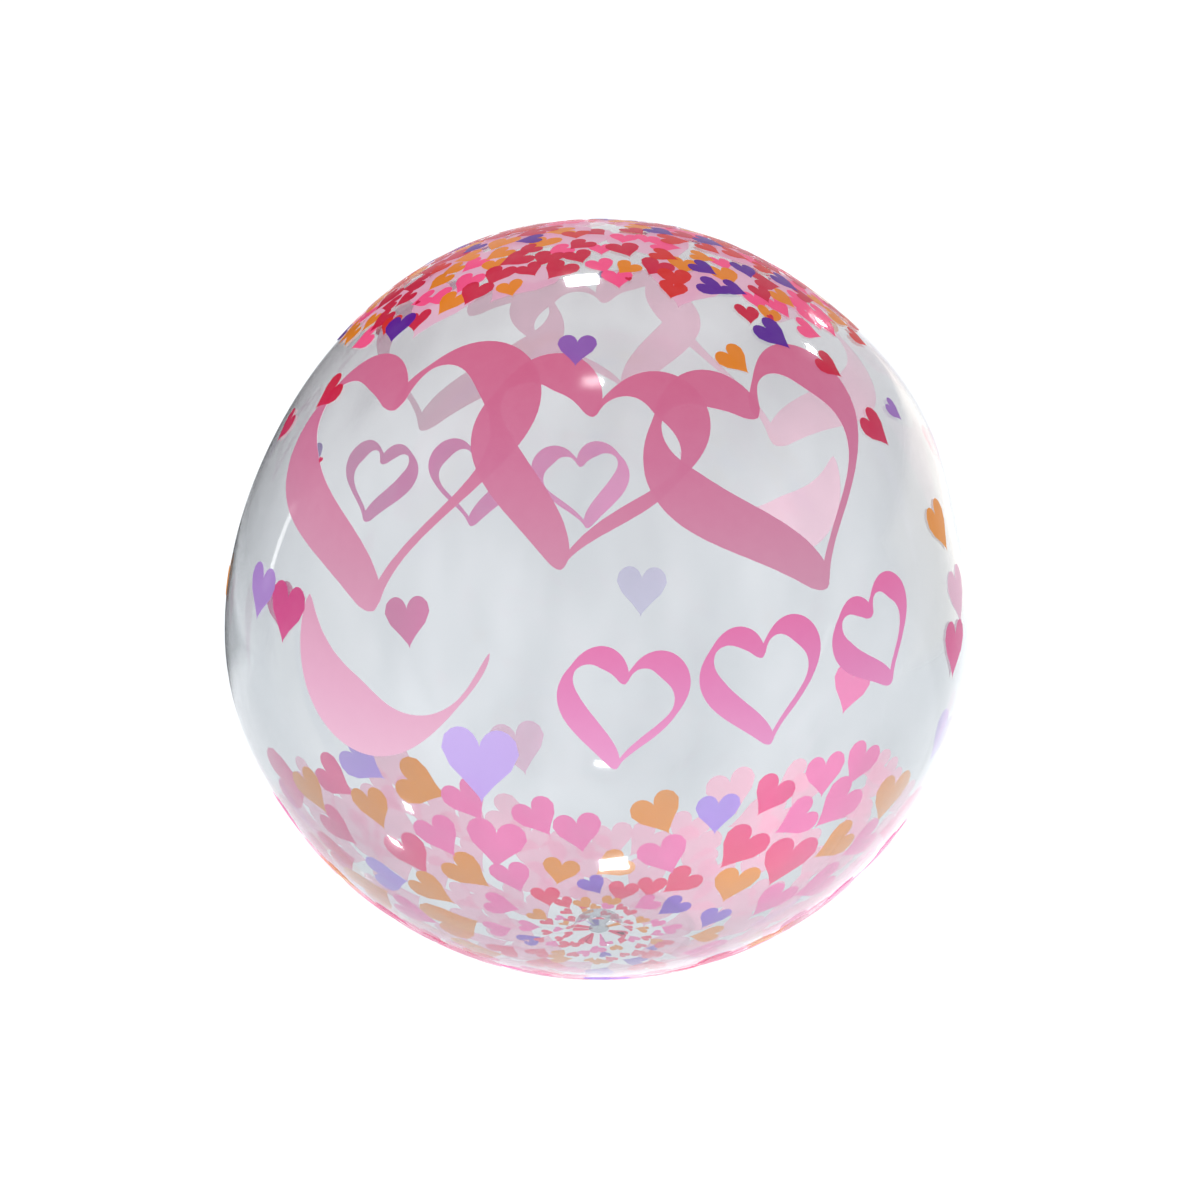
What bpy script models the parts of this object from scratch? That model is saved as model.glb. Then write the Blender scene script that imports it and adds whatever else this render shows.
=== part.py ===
"""A clear bubble balloon: one skin of stretched film, blown nearly round and tied off underneath.

Run with blender --background --python part.py, or from Blender's text editor.
Units are metres, +Z is up, and the origin is on the floor below the balloon's centre.
The print's front faces -Y. The solid stands for the sealed skin with the gas in it.
"""
import math

import bmesh
import bpy

# Driving dimensions
BODY_RADIUS = 0.225          # the nearly round body, about 0.45 m across when filled
CROWN_SWELL = 0.017          # how much further out the crown stands, as a share of the radius
CROWN_AT = math.radians(78)
CROWN_WIDTH = math.radians(24)
SHOULDER_PULL = 0.019        # how much the film above the widest ring is drawn in
SHOULDER_AT = math.radians(27)
SHOULDER_WIDTH = math.radians(26)
REST_RADIUS = 0.040          # the film flattens to this radius where it rests on a floor

TUCK_RADIUS = 0.017          # the dimple that the tied neck sits in
TUCK_DEPTH = 0.013
KNOT_RADIUS = 0.0065         # the film gathered and tied on itself
PINCH_RADIUS = 0.0036        # between the knot and the cut end of the neck
TAIL_RADIUS = 0.0072         # the cut end, which flares a little
TAIL_CLEARANCE = 0.0025      # the cut end stays this far above the floor

TURNS = 72                   # facets round the balloon
BODY_BANDS = 42              # facets from the crown to the flat spot
TUCK_BANDS = 5               # facets from the flat spot into the dimple

# Worked out from those
REST_LATITUDE = -math.acos(REST_RADIUS / BODY_RADIUS)
CENTRE_HEIGHT = -BODY_RADIUS * math.sin(REST_LATITUDE)


def film_radius(latitude):
    """How far the film stands from the body's centre at this latitude."""
    crown = CROWN_SWELL * math.exp(-(((latitude - CROWN_AT) / CROWN_WIDTH) ** 2))
    shoulder = SHOULDER_PULL * math.exp(-(((latitude - SHOULDER_AT) / SHOULDER_WIDTH) ** 2))
    return BODY_RADIUS * (1 + crown - shoulder)


def body_outline():
    """From the crown on the axis down to the edge of the flat spot."""
    points = []
    top = math.pi / 2
    for i in range(BODY_BANDS + 1):
        latitude = top + (REST_LATITUDE - top) * i / BODY_BANDS
        radius = film_radius(latitude)
        points.append((radius * math.cos(latitude), CENTRE_HEIGHT + radius * math.sin(latitude)))
    points[0] = (0.0, points[0][1])
    points[-1] = (REST_RADIUS, 0.0)
    return points


def tuck_outline():
    """From the flat spot's inner edge, up the dimple's rounded wall, to the root of the knot."""
    points = []
    for i in range(TUCK_BANDS + 1):
        turn = math.pi / 2 * i / TUCK_BANDS
        x = KNOT_RADIUS + (TUCK_RADIUS - KNOT_RADIUS) * math.cos(turn)
        points.append((x, TUCK_DEPTH * math.sin(turn)))
    return points


def neck_outline():
    """The knot, the pinch under it and the flared cut end, from the dimple's roof down to the axis."""
    drop = TUCK_DEPTH - TAIL_CLEARANCE
    return [
        (KNOT_RADIUS * 1.08, TUCK_DEPTH - drop * 0.16),
        (KNOT_RADIUS * 1.08, TUCK_DEPTH - drop * 0.34),
        (KNOT_RADIUS * 0.86, TUCK_DEPTH - drop * 0.48),
        (PINCH_RADIUS, TUCK_DEPTH - drop * 0.60),
        (PINCH_RADIUS, TUCK_DEPTH - drop * 0.70),
        (TAIL_RADIUS * 0.82, TUCK_DEPTH - drop * 0.86),
        (TAIL_RADIUS, TAIL_CLEARANCE),
        (0.0, TAIL_CLEARANCE + 0.0012),
    ]


def clear_film():
    """See-through stretched plastic, slightly cool."""
    material = bpy.data.materials.new("clear_film")
    material.use_nodes = True
    shader = material.node_tree.nodes["Principled BSDF"]
    shader.inputs["Base Color"].default_value = (0.80, 0.84, 0.86, 1)
    shader.inputs["Roughness"].default_value = 0.06
    shader.inputs["Alpha"].default_value = 0.3
    material.diffuse_color = (0.80, 0.84, 0.86, 0.3)
    return material


def turned(name, outline, turns, collection):
    """A solid turned round Z from an outline that runs from the top to the bottom on its outer side."""
    mesh = bpy.data.meshes.new(name)
    mesh.from_pydata([(x, 0, z) for x, z in outline], [(i, i + 1) for i in range(len(outline) - 1)], [])
    body = bpy.data.objects.new(name, mesh)
    collection.objects.link(body)
    screw = body.modifiers.new("turn", "SCREW")
    screw.axis = "Z"
    screw.angle = 2 * math.pi
    screw.steps = screw.render_steps = turns
    screw.use_merge_vertices = True
    screw.merge_threshold = 0.00005
    screw.use_smooth_shade = False
    return body


def build():
    for thing in list(bpy.data.objects):
        bpy.data.objects.remove(thing, do_unlink=True)
    balloon = bpy.data.collections.new("bubble_balloon")
    bpy.context.scene.collection.children.link(balloon)
    outline = body_outline() + tuck_outline() + neck_outline()
    skin = turned("balloon_skin", outline, TURNS, balloon)
    skin.data.materials.append(clear_film())
    return skin


def measure(body):
    """The body's volume in litres and its size, from its finished mesh."""
    graph = bpy.context.evaluated_depsgraph_get()
    finished = bmesh.new()
    finished.from_object(body, graph)
    litres = finished.calc_volume() * 1000
    heights = [v.co.z for v in finished.verts]
    widest = max(math.hypot(v.co.x, v.co.y) for v in finished.verts)
    finished.free()
    return litres, 2 * widest, max(heights) - min(heights)


litres, width, height = measure(build())
print(f"bubble balloon: {width * 1000:.1f} mm across, {height * 1000:.1f} mm tall, {litres:.2f} litres")
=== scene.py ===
# %% [markdown]
# # A clear bubble balloon with a printed film
#
# The real thing is one skin of stretched clear plastic, blown nearly round and tied off underneath.
# Its heart confetti and large brush-drawn hearts are inks printed on the outside of the film. The two
# sides carry the same design, and the print on the back shows faintly through the front. The packed
# solid gives the size and the shape. Everything added here is looks, and it rides on the balloon.

# %% Load the frame
import math
import random

import bpy
from mathutils import Matrix, Vector


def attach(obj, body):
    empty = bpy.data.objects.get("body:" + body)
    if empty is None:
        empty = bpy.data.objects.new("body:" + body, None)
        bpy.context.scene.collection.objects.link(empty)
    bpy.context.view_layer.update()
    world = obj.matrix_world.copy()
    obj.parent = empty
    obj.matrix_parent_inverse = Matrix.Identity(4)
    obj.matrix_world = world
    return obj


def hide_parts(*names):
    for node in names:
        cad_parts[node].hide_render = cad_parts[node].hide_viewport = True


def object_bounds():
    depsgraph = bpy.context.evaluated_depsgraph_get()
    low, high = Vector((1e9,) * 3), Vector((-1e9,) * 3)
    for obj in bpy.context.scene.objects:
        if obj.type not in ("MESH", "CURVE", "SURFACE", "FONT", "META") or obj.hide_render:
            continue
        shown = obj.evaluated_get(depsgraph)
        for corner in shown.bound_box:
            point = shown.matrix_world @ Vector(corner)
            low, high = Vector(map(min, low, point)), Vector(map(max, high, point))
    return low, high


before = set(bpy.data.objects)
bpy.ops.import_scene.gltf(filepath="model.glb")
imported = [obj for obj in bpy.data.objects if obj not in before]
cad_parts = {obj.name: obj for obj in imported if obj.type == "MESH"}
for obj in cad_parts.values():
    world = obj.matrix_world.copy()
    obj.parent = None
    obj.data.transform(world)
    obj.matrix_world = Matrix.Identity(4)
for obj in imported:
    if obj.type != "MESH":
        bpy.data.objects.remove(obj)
cad_low, cad_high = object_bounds()
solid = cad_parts["balloon_skin"]
print("CAD box, mm:", [round(1000 * side) for side in cad_high - cad_low])

# %% [markdown]
# ## Small helpers
#
# Colours are written as the hex codes that a colour picker shows. Blender's shaders want linear
# light, so one function turns them. A second function adds one node with its settings and links,
# which keeps each material short enough to read as a recipe, and a third starts a material. Blender
# counts in metres, so small lengths are written as so many MM.

# %% Colour and node helpers


def srgb(code):
    """A hex colour, such as "D1708F", as linear red, green and blue with a full alpha."""
    shares = [int(code[i:i + 2], 16) / 255 for i in (0, 2, 4)]
    return [s / 12.92 if s <= 0.04045 else ((s + 0.055) / 1.055) ** 2.4 for s in shares] + [1.0]


def add_node(tree, kind, inputs=(), **settings):
    """Adds a node. inputs maps a socket's name or number to its value, or to the output that feeds it."""
    node = tree.nodes.new("ShaderNode" + kind)
    for name, value in settings.items():
        setattr(node, name, value)
    for name, value in dict(inputs).items():
        if isinstance(value, bpy.types.NodeSocket):
            tree.links.new(value, node.inputs[name])
        else:
            node.inputs[name].default_value = value
    return node


def new_material(name):
    """A material with its node tree and its Principled shader."""
    material = bpy.data.materials.new(name)
    material.use_nodes = True
    return material, material.node_tree, material.node_tree.nodes["Principled BSDF"]


MM = 0.001
print("half grey on the screen is", round(srgb("808080")[0], 2), "in linear light")

# %% [markdown]
# ## Where things are on the balloon
#
# A balloon is easiest to talk about like a globe. Latitude is degrees above the widest ring, and
# longitude is degrees round from the front of the print, towards the right hand. The body's radius and
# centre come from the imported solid's box: a ball with a small flat spot under it and a crown that
# stands a little proud.

# %% Find the ball in the solid's box
REST_RADIUS = 40 * MM        # of the flat spot that the balloon rests on
CROWN_SHARE = 0.0132         # how far the crown stands out, as a share of the radius

solid_height = cad_high.z - cad_low.z
RADIUS = (solid_height + REST_RADIUS ** 2 / solid_height) / (2 + CROWN_SHARE)
CENTRE = Vector((0, 0, cad_low.z + math.sqrt(RADIUS ** 2 - REST_RADIUS ** 2)))
print("body radius, mm:", round(RADIUS / MM, 1), " centre height, mm:", round(CENTRE.z / MM, 1))


def compass(latitude, longitude):
    """Three unit vectors at a place on the balloon: to the right, up along the film, and outwards."""
    lat, lon = math.radians(latitude), math.radians(longitude)
    right = Vector((math.cos(lon), math.sin(lon), 0))
    out = Vector((math.sin(lon) * math.cos(lat), -math.cos(lon) * math.cos(lat), math.sin(lat)))
    return right, out.cross(right), out


def place_on_film(latitude, longitude, size, spin):
    """The matrix that lays a flat unit shape on the balloon, turned by spin degrees."""
    right, up, out = compass(latitude, longitude)
    turn = Matrix((right, up, out)).transposed().to_4x4()
    return (Matrix.Translation(CENTRE + RADIUS * out) @ turn
            @ Matrix.Rotation(math.radians(spin), 4, "Z") @ Matrix.Scale(size, 4))


# %% [markdown]
# ## The film
#
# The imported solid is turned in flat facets, and clear glossy film would show every one of them as a
# broken reflection. So a copy of its mesh is merged, its triangles are joined back to squares, and one
# level of subdivision rounds it. That keeps the film exactly where the solid is, which drawing a new
# ball by eye would not.

# %% Round off a copy of the solid


def choose(*things):
    """Selects only these objects, with the first of them active."""
    bpy.ops.object.select_all(action="DESELECT")
    for thing in things:
        thing.select_set(True)
    bpy.context.view_layer.objects.active = things[0]


def apply_modifier(thing, kind, **settings):
    """Adds a modifier and applies it."""
    choose(thing)
    modifier = thing.modifiers.new(kind.lower(), kind)
    for name, value in settings.items():
        setattr(modifier, name, value)
    bpy.ops.object.modifier_apply(modifier=modifier.name)


SAME_FACE = math.radians(40)   # triangles that bend and skew less than this are joined to squares

film = bpy.data.objects.new("printed_film", solid.data.copy())
bpy.context.scene.collection.objects.link(film)
choose(film)
bpy.ops.object.mode_set(mode="EDIT")
bpy.ops.mesh.select_all(action="SELECT")
bpy.ops.mesh.remove_doubles(threshold=0.02 * MM)
bpy.ops.mesh.tris_convert_to_quads(face_threshold=SAME_FACE, shape_threshold=SAME_FACE)
bpy.ops.mesh.normals_make_consistent(inside=False)
bpy.ops.object.mode_set(mode="OBJECT")
apply_modifier(film, "SUBSURF", levels=1, render_levels=1)
print("film:", len(film.data.polygons), "faces")

# %% [markdown]
# ## Dents and gathers
#
# Stretched film never blows up perfectly round. The left shoulder is drawn in, both flanks swell a
# little, and the right one has a few shallow waves. Each is a smooth dent at a place, or a swell where
# its depth is negative, so a short list and one formula do it. They fade out towards the floor. Under
# the balloon the film is gathered to its neck in fine pleats. They are raised only inwards, so that
# the flat spot still stands on the floor.

# %% Shape the dents and the gathers
DENTS = [  # latitude, longitude, width in degrees, depth as a share of the radius
    (30, -92, 26, 0.009),
    (14, 82, 10, 0.014),
    (-4, 83, 9, -0.012),
    (-20, 84, 14, -0.008),
    (-12, -82, 16, -0.012),
    (35, 88, 15, -0.020),
    (12, 178, 30, 0.006),
    (-28, 20, 34, -0.004),
    (44, 71, 5, 0.004),
    (27, 74, 4, 0.003),
    (34, 82, 5, 0.004),
]
DENTS_WHOLE_FROM = 60 * MM   # above the floor, and less deep below that
PLEATS = 24
PLEAT_DEPTH = 0.6 * MM
PLEATED_FROM = 12 * MM       # from the balloon's axis
PLEATED_TO = 95 * MM


def dent_depth(direction):
    """How far the film is pushed in at a direction from the centre, as a share of the radius."""
    depth = 0
    for latitude, longitude, width, share in DENTS:
        away = math.degrees(direction.angle(compass(latitude, longitude)[2]))
        depth += share * math.exp(-((away / width) ** 2))
    return depth


def pleat_lift(point):
    """How far a pleat lifts the film at a point underneath."""
    reach = math.hypot(point.x, point.y)
    if point.z > CENTRE.z or reach > PLEATED_TO:
        return 0
    fold = (1 - math.cos(PLEATS * math.atan2(point.y, point.x))) / 2
    return PLEAT_DEPTH * fold * (1 - reach / PLEATED_TO) ** 1.5 * min(1, reach / PLEATED_FROM)


for vertex in film.data.vertices:
    offset = vertex.co - CENTRE
    fade = min(1, vertex.co.z / DENTS_WHOLE_FROM)
    vertex.co = CENTRE + offset * (1 - fade * dent_depth(offset.normalized()))
    vertex.co.z += pleat_lift(vertex.co)
choose(film)
bpy.ops.object.shade_smooth()
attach(film, "root")
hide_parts("balloon_skin")
film_low, film_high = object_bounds()
print("film box, mm:", [round(1000 * side, 1) for side in film_high - film_low])

# %% [markdown]
# ## Clear stretched film
#
# The film is a polyurethane-like plastic, cast clear and stretched thin. The eye sees it by its gloss:
# hard small highlights, and a rim that mirrors the room where you look along it. Glass would bend what
# is behind it, which thin film does not, so the film is see-through by Alpha instead, and Layer Weight
# thickens it towards the rim. The dark grey it shows there is partly painted shade. Light is mirrored
# by the film's front and by its back, so a clear coat stands for the second of the two. The broad waves
# in the gloss come from a weak bump, a hand's width apart. Film that is blown up stretches unevenly, and
# lower down it has thin patches that show as faint upright clouds. Towards the crown the film covers
# more and looks a little greyer and less blue, as painted shade. Film this clear casts no shadow worth
# seeing, so it lets the lamps and the soft light through.

# %% Make the film's material
WAVE_SIZE = 70 * MM
SMEAR_SIZE = 25 * MM
STRETCH_SIZE = 60 * MM
THIN_COVER = (0.15, 0.29)    # share of what is behind that the film covers, least and most
# Painted shade: towards the crown the film covers more and looks greyer and less blue.
CROWN_SHADE_COVER = 0.10           # how much more it covers at the crown
# Edge on, the film's dark grey is partly painted shade.
RIM_COVER = 0.80             # edge on

film_material, tree, shader = new_material("stretched_polyurethane_film")
place = add_node(tree, "TexCoord").outputs["Object"]
facing = add_node(tree, "LayerWeight", {"Blend": 0.5}).outputs["Facing"]
edge_on = add_node(tree, "Math", {0: facing, 1: 3.0}, operation="POWER").outputs[0]
drawn = add_node(tree, "Mapping", {"Vector": place, "Scale": (1, 1, 0.3)})
stretch = add_node(tree, "TexNoise", {"Vector": drawn.outputs["Vector"], "Scale": 1 / STRETCH_SIZE,
                                      "Detail": 2.0})
clouds = add_node(tree, "MapRange", {"Value": stretch.outputs["Fac"], "From Min": 0.3, "From Max": 0.7,
                                     "To Min": THIN_COVER[0], "To Max": THIN_COVER[1]})
height = add_node(tree, "SeparateXYZ", {0: place}).outputs["Z"]
# Painted shade: towards the crown the film covers more, and its grey turns less blue.
crown_shade = add_node(tree, "MapRange", {"Value": height, "From Min": CENTRE.z - 0.5 * RADIUS,
                                      "From Max": CENTRE.z + RADIUS, "To Max": CROWN_SHADE_COVER})
upper = add_node(tree, "MapRange", {"Value": height, "From Min": CENTRE.z, "From Max": CENTRE.z + RADIUS})
tint = add_node(tree, "Mix", {"Factor": upper.outputs["Result"], 6: srgb("586870"), 7: srgb("5C4242")},
                data_type="RGBA")
thinnest = add_node(tree, "Math", {0: clouds.outputs["Result"], 1: crown_shade.outputs["Result"]})
cover = add_node(tree, "MapRange", {"Value": edge_on, "To Min": thinnest.outputs[0],
                                    "To Max": RIM_COVER})
smears = add_node(tree, "TexNoise", {"Vector": place, "Scale": 1 / SMEAR_SIZE, "Detail": 3.0})
gloss = add_node(tree, "MapRange", {"Value": smears.outputs["Fac"], "To Min": 0.03, "To Max": 0.10})
waves = add_node(tree, "TexNoise", {"Vector": place, "Scale": 1 / WAVE_SIZE, "Detail": 1.0})
bump = add_node(tree, "Bump", {"Height": waves.outputs["Fac"], "Strength": 0.25, "Distance": 2 * MM})
tree.links.new(cover.outputs["Result"], shader.inputs["Alpha"])
tree.links.new(gloss.outputs["Result"], shader.inputs["Roughness"])
tree.links.new(bump.outputs["Normal"], shader.inputs["Normal"])
tree.links.new(tint.outputs[2], shader.inputs["Base Color"])
shader.inputs["IOR"].default_value = 1.5
shader.inputs["Specular IOR Level"].default_value = 1.0
shader.inputs["Coat Weight"].default_value = 1.0
shader.inputs["Coat Roughness"].default_value = 0.03
film.data.materials.clear()
film.data.materials.append(film_material)
film.visible_shadow = False
film.visible_diffuse = False
low_down = round(sum(THIN_COVER) / 2, 2)
print("film covers", low_down, "low down,", low_down + CROWN_SHADE_COVER, "at the crown,", RIM_COVER, "edge on")

# %% [markdown]
# ## Inks
#
# The inks are printed flat and then stretched with the film, so they are smooth and a little
# see-through. Their ramps run paler towards the bottom, and part of that paleness is painted light,
# which makes up for the shade on the lower film. One recipe makes them all. A ramp up the balloon's
# height holds each ink's colours, and a fine mottle stands for the thin spots of a stretched print.
# Alpha stays a plain number, because it is the same all over. Part of an ink glows with the light that
# falls on it from behind, as a thin print on clear film does.
#
# The rose and the magenta of the large prints are dense and do not glow. Each has a pale base coat
# under it, next to the film, and that coat is what shows when the print is seen from inside.

# %% One recipe for every ink
MOTTLE_SIZE = 9 * MM


def ink(name, colours, alpha, glow=0.5):
    """A stretched ink. colours are (latitude, hex) pairs, from the bottom of the balloon to the top.

    glow is the share of the ink that is lit from behind.
    """
    material, tree, shader = new_material(name)
    place = add_node(tree, "TexCoord").outputs["Object"]
    height = add_node(tree, "SeparateXYZ", {0: place}).outputs["Z"]
    low, high = CENTRE.z - RADIUS, CENTRE.z + RADIUS
    share = add_node(tree, "MapRange", {"Value": height, "From Min": low, "From Max": high})
    ramp = add_node(tree, "ValToRGB", {0: share.outputs["Result"]})
    stops = ramp.color_ramp.elements
    while len(stops) < len(colours):
        stops.new(0.5)
    for stop, (latitude, colour) in zip(stops, colours):
        stop.position = (1 + math.sin(math.radians(latitude))) / 2
        stop.color = srgb(colour)
    mottle = add_node(tree, "TexNoise", {"Vector": place, "Scale": 1 / MOTTLE_SIZE, "Detail": 4.0})
    thin = add_node(tree, "MapRange", {"Value": mottle.outputs["Fac"], "To Min": 0.0, "To Max": 0.03})
    paler = add_node(tree, "Mix", {"Factor": thin.outputs["Result"], 6: ramp.outputs["Color"],
                                   7: srgb("FFF4F8")}, data_type="RGBA")
    tree.links.new(paler.outputs[2], shader.inputs["Base Color"])
    shader.inputs["Roughness"].default_value = 0.12
    shader.inputs["Specular IOR Level"].default_value = 0.10
    shader.inputs["Alpha"].default_value = alpha
    lit_from_behind = add_node(tree, "BsdfTranslucent", {"Color": paler.outputs[2]})
    mix = add_node(tree, "MixShader", {0: glow, 1: shader.outputs[0], 2: lit_from_behind.outputs[0]})
    tree.links.new(mix.outputs[0], tree.nodes["Material Output"].inputs["Surface"])
    return material


# Each ramp runs paler towards the bottom. Part of that is painted light that makes up for the shade on
# the lower film.
INKS = {
    "pale_pink": ink("stretched_ink_pale_pink", [(-60, "F8B8D8"), (40, "F4AECB")], 0.34),
    "pale_violet": ink("stretched_ink_pale_violet", [(-60, "CFC6E8"), (40, "C8BEE4")], 0.40),
    "pink": ink("stretched_ink_pink", [(-60, "FF80BC"), (-10, "F47CB4"), (50, "F24880")], 0.92),
    "orange": ink("stretched_ink_orange", [(-60, "F49C3C"), (0, "E69434"), (50, "E07E0C")], 0.95),
    "crimson": ink("stretched_ink_crimson",
                   [(-80, "F85070"), (-50, "F45C92"), (-10, "EA6CA2"), (12, "CE4684"),
                    (42, "C60A38")], 0.95),
    "red": ink("stretched_ink_red", [(-60, "F0607E"), (20, "D43A3A"), (55, "D02018")], 0.95),
    "violet": ink("stretched_ink_violet",
                  [(-80, "8C58C8"), (-60, "B894EC"), (4, "D2B8F2"), (34, "56108E")], 0.95),
    "purple": ink("stretched_ink_purple", [(0, "B48ED0"), (54, "8A54A8")], 0.95),
    "veil": ink("stretched_ink_veil", [(-60, "FFB4CC"), (-20, "FFB4CC")], 0.36),
}
# These ramps also run paler lower down, partly as painted light that makes up for the shade there.
LARGE_INK = ink("stretched_ink_rose",
                [(-14, "E0B6C8"), (2, "D09AB2"), (18, "BA7E96"), (36, "B45F80"),
                 (56, "B24C6E")], 0.96, glow=0)
ROW_INK = ink("stretched_ink_magenta", [(-8, "DC98C0"), (6, "CE78A6"), (25, "C84A80")], 0.96, glow=0)
LARGE_BASE = ink("stretched_base_of_rose", [(0, "FFD6E6"), (60, "FFD0E2")], 0.92, glow=0.6)
ROW_BASE = ink("stretched_base_of_magenta", [(0, "FF9CD2"), (60, "F88CC6")], 0.92, glow=0.6)
print("inks:", ", ".join(sorted(INKS)))

# %% [markdown]
# ## One heart, modelled once
#
# Every small heart is the same shape, so it is modelled once. A filled circle is inset and poked, which
# gives a rim, an inner ring and a middle point, enough for it to lie on the ball without its middle
# sinking into the film. Each ring is then moved to a heart's outline, which a well-known formula of
# sines and cosines draws.

# %% Model the heart
HEART_RIM = 24
LOBE_SHIFT = 0.28            # how far corners move along the outline, in radians
LOBE_PHASE = 0.9             # radians that set where along it they crowd


def heart_outline(turn):
    """A point on a heart one unit wide. The turn runs from 0 at the cleft, round to 1."""
    a = 2 * math.pi * turn
    x = 16 * math.sin(a) ** 3
    y = 13 * math.cos(a) - 5 * math.cos(2 * a) - 2 * math.cos(3 * a) - math.cos(4 * a)
    return x / 32, (y + 2.5) / 29


def towards_lobes(turn):
    """Moves a corner's turn along the outline, away from the straight sides and into the round lobes."""
    a = 2 * math.pi * abs(turn)
    moved = a + LOBE_SHIFT * (math.sin(2 * a + LOBE_PHASE) - math.sin(LOBE_PHASE))
    return math.copysign(moved, turn) / (2 * math.pi)


def model_heart():
    """A flat heart of two rings round its middle, facing up, at the origin."""
    bpy.ops.object.select_all(action="DESELECT")
    bpy.ops.mesh.primitive_circle_add(vertices=HEART_RIM, radius=1, fill_type="NGON")
    heart = bpy.context.active_object
    bpy.ops.object.mode_set(mode="EDIT")
    bpy.ops.mesh.inset(thickness=0.5)
    bpy.ops.mesh.poke()
    bpy.ops.object.mode_set(mode="OBJECT")
    for vertex in heart.data.vertices:
        ring = vertex.co.to_2d().length
        turn = math.atan2(vertex.co.x, vertex.co.y) / (2 * math.pi)
        x, y = heart_outline(towards_lobes(turn))
        vertex.co = (x * ring, y * ring, 0)
    return heart


pattern_heart = model_heart()
print("one heart:", len(pattern_heart.data.polygons), "faces")

# %% [markdown]
# ## Laying ink on the film
#
# Each ink is one piece. Its shapes are set out round the ball, joined, and wrapped onto the film by a
# Shrinkwrap modifier, as a decal would be. Each ink sits a tenth of a millimetre over the one before,
# and within it shapes that follow each other are an eighth of that apart, so that where two cross, one
# is truly on top. Inks this thin cast no shadow on the film or on each other, and the print behind
# stays as bright.

# %% The press
LAYER = 0.1 * MM
FLAKES = 8                   # shapes of one ink lie at this many heights within its layer


def print_ink(name, shapes, material, layer):
    """Joins shapes that all have as many corners into one piece, and lays it on the film at its layer."""
    sheet = shapes[0]
    corners = len(sheet.data.vertices)
    choose(*shapes)
    if len(shapes) > 1:
        bpy.ops.object.join()
    bpy.ops.object.transform_apply(location=True, rotation=True, scale=True)
    apply_modifier(sheet, "SHRINKWRAP", target=film, wrap_method="NEAREST_SURFACEPOINT",
                   wrap_mode="ABOVE_SURFACE", offset=LAYER * (layer + 1.5))
    for vertex in sheet.data.vertices:
        flake = vertex.index // corners % FLAKES
        vertex.co += (vertex.co - CENTRE).normalized() * LAYER * flake / FLAKES
    bpy.ops.object.shade_smooth()
    sheet.name = name
    sheet.data.materials.clear()
    sheet.data.materials.append(material)
    sheet.visible_shadow = sheet.visible_diffuse = sheet.visible_transmission = False
    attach(sheet, "root")
    print(name, "has", len(sheet.data.polygons), "faces")


print("inks lie", round(LAYER / MM, 2), "mm apart")

# %% [markdown]
# ## Brush-drawn hearts
#
# The large design is drawn as if with a broad brush: thick where the stroke runs across the nib and
# thin where it runs along it. Each stroke is a grid that is bent to a path, so its width can change
# all along. A heart is two strokes, one down each side, that cross in the cleft and again at the tip.
# Its middle line is worked out first, and the nib's width is laid across it.

# %% Strokes of a broad brush
STROKE_STEPS = 72
STROKE_BANDS = 5
NIB_ANGLE = 52
NIB_CONTRAST = 1.6           # higher keeps more of a stroke thin
POINTED_ENDS = 0.55          # lower keeps a stroke wide nearer to its ends
AHEAD = 0.0005               # share of a stroke, to look ahead along its path


def over_film(latitude, longitude, u, v):
    """The point on the ball reached by going u to the right and v up along the film from a place."""
    right, up, out = compass(latitude, longitude)
    reach = math.hypot(u, v)
    if reach == 0:
        return CENTRE + RADIUS * out
    along = (right * u + up * v) / reach
    return CENTRE + RADIUS * (out * math.cos(reach / RADIUS) + along * math.sin(reach / RADIUS))


def brush_stroke(path, at, thick, thin):
    """A grid bent along path(t) in metres over a place on the film, as wide as the nib makes it."""
    bpy.ops.object.select_all(action="DESELECT")
    bpy.ops.mesh.primitive_grid_add(x_subdivisions=STROKE_STEPS, y_subdivisions=STROKE_BANDS, size=2)
    stroke = bpy.context.active_object
    for vertex in stroke.data.vertices:
        t = min(max((vertex.co.x + 1) / 2, AHEAD), 1 - AHEAD)
        here, ahead = Vector(path(t)), Vector(path(t + AHEAD))
        along = (ahead - here).normalized()
        across = Vector((-along.y, along.x))
        slant = abs(math.sin(math.atan2(along.y, along.x) - math.radians(NIB_ANGLE)))
        taper = math.sin(math.pi * t) ** POINTED_ENDS
        width = thin + (thick - thin) * slant ** NIB_CONTRAST
        spot = here + across * vertex.co.y * width / 2 * taper
        vertex.co = over_film(*at, spot.x, spot.y)
    return stroke


print("one stroke:", STROKE_STEPS * STROKE_BANDS, "faces")

# %% [markdown]
# ## Paths for the brush
#
# A brush heart follows the outline of the small hearts, one half at a time. A real brush starts a
# little before the line and stops a little after it, so both ends of a half run straight on. The swash
# follows part of an oval. A path is a function of t, which runs from 0 to 1 along the stroke.

# %% Paths of a half heart and of a swash
STRAIGHT_ENDS = 0.10         # share of a half heart that runs straight on at each end
SPILL = 0.5                  # how fast it runs on, in heart widths for a whole stroke
OUTLINE_STEP = 0.001         # share of a heart's outline, to see which way it runs
SWASH_FROM = 1.06            # half turns round an oval, where the swash starts
SWASH_SWEEP = 0.86           # half turns that it takes
SWASH_DEPTH = 0.6            # of the oval's lower half, as a share of its width


def leaned(x, y, size, lean):
    """A point of a unit shape, scaled to its size and leaned to the left by lean degrees."""
    a = math.radians(lean)
    return size * (x * math.cos(a) - y * math.sin(a)), size * (x * math.sin(a) + y * math.cos(a))


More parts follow.
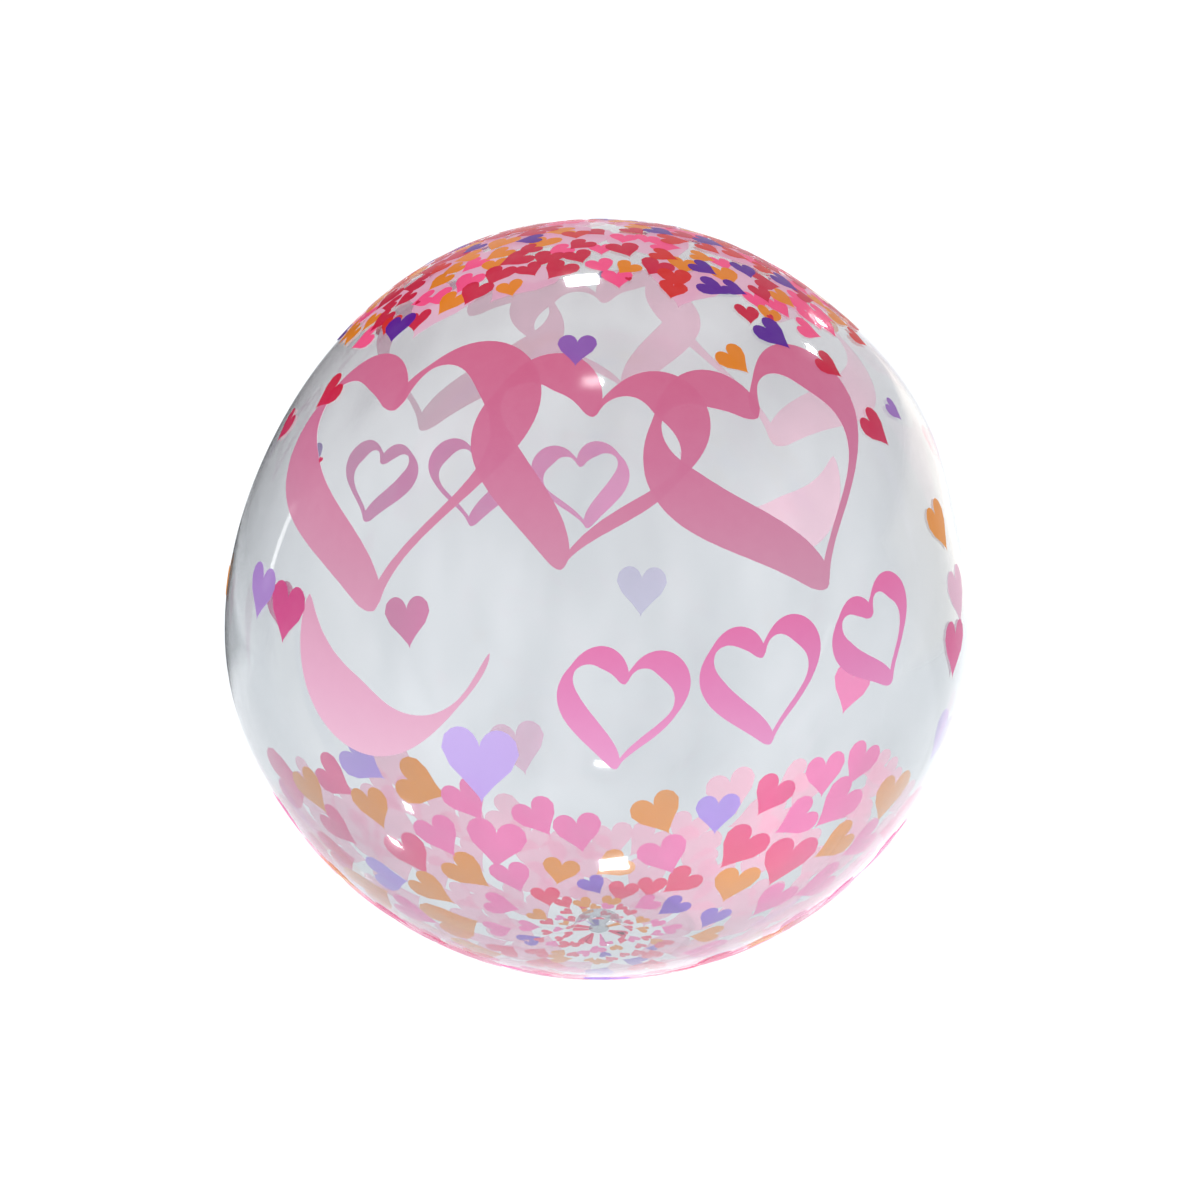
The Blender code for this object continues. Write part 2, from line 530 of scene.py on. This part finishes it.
def half_heart(side, size, lean):
    """The path of one side of a brush heart. Both its ends run straight on, so the two sides cross."""
    def path(t):
        inner = min(max(t, STRAIGHT_ENDS), 1 - STRAIGHT_ENDS)
        x, y = heart_outline(inner / 2)
        x2, y2 = heart_outline(inner / 2 + OUTLINE_STEP)
        spill = (t - inner) * SPILL / math.hypot(x2 - x, y2 - y)
        return leaned(side * (x + (x2 - x) * spill), y + (y2 - y) * spill, size, lean)
    return path


def brush_heart(at, size, lean, thick, thin):
    """The two strokes of a brush-drawn heart."""
    return [brush_stroke(half_heart(side, size, lean), at, thick, thin) for side in (-1, 1)]


def crescent(size, lean):
    """The path of a crescent swash, the lower half of an oval less its two tips."""
    def path(t):
        turn = math.pi * (SWASH_FROM + SWASH_SWEEP * t)
        return leaned(0.5 * math.cos(turn), SWASH_DEPTH * math.sin(turn), size, lean)
    return path


print("tip of a heart one unit wide:", [round(side, 2) for side in heart_outline(0.5)])

# %% [markdown]
# ## The linked hearts
#
# Three large hearts are linked across the front, with the swash under the first of them. The same
# design is on the back, half a turn away. It is printed twice: first the base coat, and over it the
# rose.

# %% Print the large design
BIG_HEARTS = [  # latitude, longitude, size, lean, thick and thin widths of the stroke, in degrees and mm
    (32, -38, 146, 14, 34, 5),
    (36, -3, 110, -10, 30, 5),
    (33, 32, 128, 8, 32, 5),
]
SWASHES = [
    (17, -30, 124, -4, 44, 4),
]


def both_sides(make, rows):
    """Makes every row's shapes on the front of the balloon, and again on its back."""
    shapes = []
    for turned in (0, 180):
        for latitude, longitude, *rest in rows:
            shapes += make((latitude, longitude + turned), *rest)
    return shapes


def big_heart(at, size, lean, thick, thin):
    """A brush heart from a row of millimetres."""
    return brush_heart(at, size * MM, lean, thick * MM, thin * MM)


def big_swash(at, size, lean, thick, thin):
    """A crescent swash from a row of millimetres."""
    return [brush_stroke(crescent(size * MM, lean), at, thick * MM, thin * MM)]


def large_design():
    """The linked hearts and the swash, on both sides."""
    return both_sides(big_heart, BIG_HEARTS) + both_sides(big_swash, SWASHES)


print_ink("print_large_base", large_design(), LARGE_BASE, 0)
print_ink("print_large_hearts", large_design(), LARGE_INK, 1)

# %% [markdown]
# ## The rising row
#
# A row of three smaller hearts climbs to the right under the large ones, in a brighter magenta over a
# pink base coat.

# %% Print the row
ROW_HEARTS = [
    (3, 3, 60, -6, 15, 3.5),
    (5, 23, 62, 4, 15, 3.5),
    (8, 43, 54, 16, 15, 3.5),
]
print_ink("print_row_base", both_sides(big_heart, ROW_HEARTS), ROW_BASE, 0)
print_ink("print_heart_row", both_sides(big_heart, ROW_HEARTS), ROW_INK, 1)

# %% [markdown]
# ## Confetti
#
# The crown and the bottom are covered in crowded hearts, and a few stray ones float between. The
# caps are scattered by throwing darts: a place is drawn at random and kept if it is far enough from
# those kept before. Each cap thins out at its edge. The seed is fixed, so every run prints the same
# balloon. The crown's hearts are as wide as a fingertip. Next to the neck the film is hardly
# stretched, so the hearts printed on it stay small. Large faint hearts round the bright ones run
# together into a pink veil. The strays are listed one by one, because the eye knows them by their
# places.

# %% Throw hearts at the film
EDGE_FADE = 6                # degrees over which the confetti thins out inside its edge
EDGE_STRAY = 2               # degrees by which it strays over its edge
SIZES = (0.82, 1.18)         # smallest and largest heart, as shares of the usual size
MOST_SPIN = 50               # degrees
draw = random.Random(11)
confetti = {name: [] for name in INKS}


def add_heart(ink_name, latitude, longitude, size, spin):
    """Copies the heart onto the film, with its own mesh."""
    heart = pattern_heart.copy()
    heart.data = pattern_heart.data.copy()
    bpy.context.scene.collection.objects.link(heart)
    heart.matrix_world = place_on_film(latitude, longitude, size * MM, spin)
    confetti[ink_name].append(heart)


def scatter(tries, lowest, highest, edge, size_at, spacing, colours, between=()):
    """Throws hearts between two latitudes, keeping those past the printed edge and clear of each other.

    Their middles also stay off the hearts in between. The result lists each heart's direction and size.
    """
    kept = []
    low, high = math.sin(math.radians(lowest)), math.sin(math.radians(highest))
    for _ in range(tries):
        latitude = math.degrees(math.asin(draw.uniform(low, high)))
        longitude = draw.uniform(-180, 180)
        if abs(latitude) < edge(longitude) + draw.uniform(-EDGE_STRAY, EDGE_FADE):
            continue
        size = size_at(latitude) * draw.uniform(*SIZES)
        out = compass(latitude, longitude)[2]
        if any(out.angle(other) * RADIUS < spacing * size * MM for other, _ in kept):
            continue
        if any(out.angle(other) * RADIUS < other_size * MM / 2 for other, other_size in between):
            continue
        kept.append((out, size))
        add_heart(draw.choice(colours), latitude, longitude, size, draw.uniform(-MOST_SPIN, MOST_SPIN))
    return kept


print("inks for the confetti:", len(confetti))

# %% [markdown]
# The printed caps are not round. At the balloon's sides they reach further towards its widest ring than
# over and under the design, so each edge is a wave round the balloon. The colours are drawn from lists,
# in which a common colour is written more often.

# %% Scatter the crown, the neck and the bottom

def top_edge(longitude):
    """The latitude where the crown's confetti starts: lower at the sides than over the design."""
    return 59 + 11 * math.cos(2 * math.radians(longitude))


def bottom_edge(longitude):
    """The same for the confetti underneath, in degrees below the widest ring."""
    return 47 + 15 * math.cos(2 * math.radians(longitude))


def steady(size):
    """A usual size, in millimetres, that is the same at every latitude."""
    return lambda latitude: size


def bottom_size(latitude):
    """Hearts shrink from the edge of the bottom confetti towards the neck, where the film is thickest."""
    return 13 + 26 * min(1, (80 + latitude) / 15)


CROWN_COLOURS = ["crimson"] * 6 + ["pink"] * 5 + ["red"] * 3 + ["orange"] * 4 + ["violet"]
BOTTOM_COLOURS = ["pink"] * 5 + ["crimson"] * 4 + ["orange"] * 3 + ["violet"] * 2
NECK_COLOURS = ["crimson"] * 6 + ["pink"] * 2 + ["orange"] * 2 + ["violet"]
crown = scatter(6000, 45, 84, top_edge, steady(18), 0.70, CROWN_COLOURS)
neck = scatter(900, -88, -80, bottom_edge, steady(9), 0.9, NECK_COLOURS)
bottom = scatter(6000, -80, -28, bottom_edge, bottom_size, 0.92, BOTTOM_COLOURS)
veil = scatter(4000, -80, -34, bottom_edge, steady(32), 0.5, ["veil"], between=bottom)
pale = scatter(600, 55, 88, top_edge, steady(44), 0.85, ["pale_pink"])
print("hearts on the crown:", len(crown), " by the neck:", len(neck), " on the bottom:", len(bottom))
print("faint hearts between those on the bottom:", len(veil), " pale ones on the crown:", len(pale))

# %% [markdown]
# The strays are listed: the ink, the place in degrees, the size in millimetres and the spin.
# The last six are specks of ink about as wide as a match head.

# %% Set the stray hearts
STRAYS = [
    ("purple", 54, -5, 21, 0), ("violet", 54, -57, 22, 30), ("orange", 51, 31, 20, 25),
    ("violet", 54, 46, 23, 20), ("crimson", 47, 56, 19, 25), ("crimson", 41, -64, 24, -25),
    ("crimson", 36, 58, 24, 20), ("purple", 37, 68, 15, 20), ("crimson", 33, -76, 22, -10),
    ("crimson", 10, -51, 34, 0), ("purple", 11, -59, 32, 0), ("orange", 19, 66, 30, 8),
    ("pale_pink", 8, 68, 34, 0), ("crimson", 1, 64, 34, -12), ("violet", -5, -16, 43, 0),
    ("pink", -18, -142, 36, 8), ("pale_violet", -16, 172, 36, 0), ("pink", -26, 124, 34, -8),
    ("pale_pink", -44, -160, 40, 0), ("pink", -30, -70, 34, 12), ("violet", -22, 88, 34, -10),
    ("orange", -36, -96, 34, 14), ("pink", 24, 96, 30, -8), ("violet", 16, -118, 30, 12),
    ("orange", 4, -88, 32, -14), ("crimson", -8, -112, 34, 10), ("orange", 44, 118, 22, 16),
    ("violet", 50, 176, 21, 0), ("crimson", 42, -126, 22, -12), ("pink", -34, 66, 34, 10),
    ("crimson", 70, -17, 4, 0), ("crimson", 68, 11, 4, 0), ("crimson", 57, 50, 5, 0),
    ("crimson", 59, -60, 4, 0), ("crimson", 32, -54, 4, 0), ("crimson", 66, 168, 4, 0),
]
for stray in STRAYS:
    add_heart(*stray)
bpy.data.objects.remove(pattern_heart)
for number, (name, hearts) in enumerate(confetti.items()):
    print_ink("confetti_" + name, hearts, INKS[name], 2 + number)

# %% [markdown]
# ## The floor
#
# A plain pale light table runs out of sight, so the balloon stands in nothing but white. Its top is set
# at the lowest point of the print, which lies a hair under the solid where the balloon rests.

# %% Floor
FLOOR_WIDTH = 80             # metres, so that its far edge is out of sight

bpy.ops.object.select_all(action="DESELECT")
bpy.ops.mesh.primitive_plane_add(size=FLOOR_WIDTH, location=(0, 0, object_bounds()[0].z))
floor = bpy.context.active_object
floor.name = "floor"
floor_material, tree, shader = new_material("light_table")
shader.inputs["Base Color"].default_value = srgb("C2C2C4")
shader.inputs["Roughness"].default_value = 0.9
shader.inputs["Specular IOR Level"].default_value = 0.1
shader.inputs["Emission Color"].default_value = srgb("F8FBFE")
shader.inputs["Emission Strength"].default_value = 0.42
floor.data.materials.append(floor_material)
print("floor height, mm:", round(1000 * floor.location.z, 2))

# %% [markdown]
# ## The sky and the lamps
#
# The sky is soft and even, with a weak sun for the inks. Clear film is seen mostly by what it mirrors,
# so four window-like lamps give it hard small highlights, and a thin strip of a lamp close by draws a
# bright streak. These are there for the gloss alone and light nothing else.

# %% Sky and lamps
world = bpy.data.worlds.new("soft_sky")
bpy.context.scene.world = world
world.use_nodes = True
tree = world.node_tree
sky = tree.nodes["Background"]
sky.inputs["Color"].default_value = srgb("F8FBFE")
towards = add_node(tree, "SeparateXYZ", {0: add_node(tree, "TexCoord").outputs["Generated"]})
glow = add_node(tree, "MapRange", {"Value": towards.outputs["Z"], "From Min": 0.1, "From Max": 0.8,
                                   "To Min": 1.09, "To Max": 1.16}, interpolation_type="SMOOTHSTEP")
tree.links.new(glow.outputs["Result"], sky.inputs["Strength"])


def window(name, azimuth, elevation, distance, width, tall, radiance):
    """A rectangular lamp that faces the balloon. Its azimuth is counted from the front, to the right."""
    light = bpy.data.lights.new(name, "AREA")
    light.shape = "RECTANGLE"
    light.size, light.size_y = width, tall
    light.energy = radiance * width * tall * math.pi
    lamp = bpy.data.objects.new(name, light)
    bpy.context.scene.collection.objects.link(lamp)
    out = compass(elevation, azimuth)[2]
    lamp.location = CENTRE + out * distance
    lamp.rotation_euler = out.to_track_quat("Z", "Y").to_euler()
    lamp.visible_camera = lamp.visible_diffuse = False


window("ceiling_light", -6, 76, 2.2, 0.20, 0.08, 110)
window("back_window", -173, 62, 2.4, 0.26, 0.24, 90)
window("right_window", 129, 34, 2.2, 0.08, 0.08, 90)
window("far_right_window", 146, 23, 2.4, 0.07, 0.08, 90)
window("narrow_window", -99, 8.6, 0.54, 0.018, 0.15, 4)

sun = bpy.data.objects.new("daylight", bpy.data.lights.new("daylight", "SUN"))
bpy.context.scene.collection.objects.link(sun)
sun.data.energy = 0.8
sun.visible_glossy = False
sun.data.angle = math.radians(60)
sun.rotation_euler = compass(36, -24)[2].to_track_quat("Z", "Y").to_euler()
print("lamps:", len(bpy.data.lights))

# %% [markdown]
# ## Cards and mats
#
# A round clear thing in a white room has no edge, so a photographer stands dark and white boards just
# out of view. A dark card and a dark mat behind the balloon on the left darken that rim. On the right,
# a white mat brightens the lower rim, and a cream card makes the flank lighter and less blue. Their
# edges fade out, so that no straight line shows in the film, and only the film's gloss sees them.

# %% Cards and mats
CARD_EDGE = 0.5              # share of a card's size from its middle to its edge
CARD_FADES_FROM = 0.3        # share from its middle to where it starts to fade
MAT_HEIGHT = 4 * MM          # over the floor
UP = Vector((0, 0, 1))


def soft_card(name, middle, facing, width, tall, colour, glow=0.0):
    """A card that only the film's gloss sees. Its board fades out towards its edges."""
    bpy.ops.object.select_all(action="DESELECT")
    bpy.ops.mesh.primitive_plane_add(size=1)
    card = bpy.context.active_object
    card.name = name
    card.matrix_world = (Matrix.Translation(middle) @ facing.to_track_quat("Z", "Y").to_matrix().to_4x4()
                         @ Matrix.Diagonal((width, tall, 1, 1)))
    material, tree, shader = new_material(name + "_board")
    shader.inputs["Base Color"].default_value = srgb(colour)
    shader.inputs["Roughness"].default_value = 1.0
    shader.inputs["Emission Color"].default_value = srgb(colour)
    shader.inputs["Emission Strength"].default_value = glow
    from_middle = add_node(tree, "VectorMath", {0: add_node(tree, "TexCoord").outputs["Object"]},
                           operation="ABSOLUTE")
    sides = add_node(tree, "SeparateXYZ", {0: from_middle.outputs[0]})
    nearest_edge = add_node(tree, "Math", {0: sides.outputs["X"], 1: sides.outputs["Y"]},
                            operation="MAXIMUM")
    fade = add_node(tree, "MapRange", {"Value": nearest_edge.outputs[0], "From Min": CARD_EDGE,
                                       "From Max": CARD_FADES_FROM}, interpolation_type="SMOOTHSTEP")
    tree.links.new(fade.outputs["Result"], shader.inputs["Alpha"])
    card.data.materials.append(material)
    card.visible_camera = card.visible_diffuse = card.visible_shadow = False
    print(name, "is", width, "by", tall, "m")


def standing_card(name, azimuth, distance, middle_height, *board):
    """A soft card that stands upright at an azimuth round the balloon, square to it."""
    out = compass(0, azimuth)[2]
    soft_card(name, UP * middle_height + out * distance, out, *board)


standing_card("dark_card", -125, 0.52, 0.52, 0.70, 0.90, "0E1012")
soft_card("dark_mat", Vector((-0.45, 0.76, MAT_HEIGHT)), UP, 0.80, 0.90, "0E1012")
soft_card("white_mat", Vector((0.60, 0.37, MAT_HEIGHT)), UP, 1.40, 1.10, "FFFFFF", 0.55)
standing_card("cream_card", 119, 0.80, 0.24, 1.00, 0.49, "FFF8EE", 0.82)

# %% [markdown]
# ## The camera
#
# It stands a little above the balloon and about three balloon widths away, with a short telephoto
# lens. It aims a millimetre off the ball's middle, because the dents and the crown shift the middle of
# what shows.

# %% Camera
CAMERA_ELEVATION = 18
CAMERA_DISTANCE = 6.1 * RADIUS
CAMERA_AIM = CENTRE + Vector((0.7, 0, 1.4)) * MM
CAMERA_LENS = 67.9           # in millimetres

camera = bpy.data.objects.new("camera", bpy.data.cameras.new("camera"))
bpy.context.scene.collection.objects.link(camera)
camera.data.lens = CAMERA_LENS
back = compass(CAMERA_ELEVATION, 0)[2]
camera.location = CAMERA_AIM + back * CAMERA_DISTANCE
camera.rotation_euler = back.to_track_quat("Z", "Y").to_euler()
bpy.context.scene.camera = camera
bpy.context.scene.view_settings.view_transform = "Standard"
print("camera is", round(CAMERA_DISTANCE, 2), "m away")
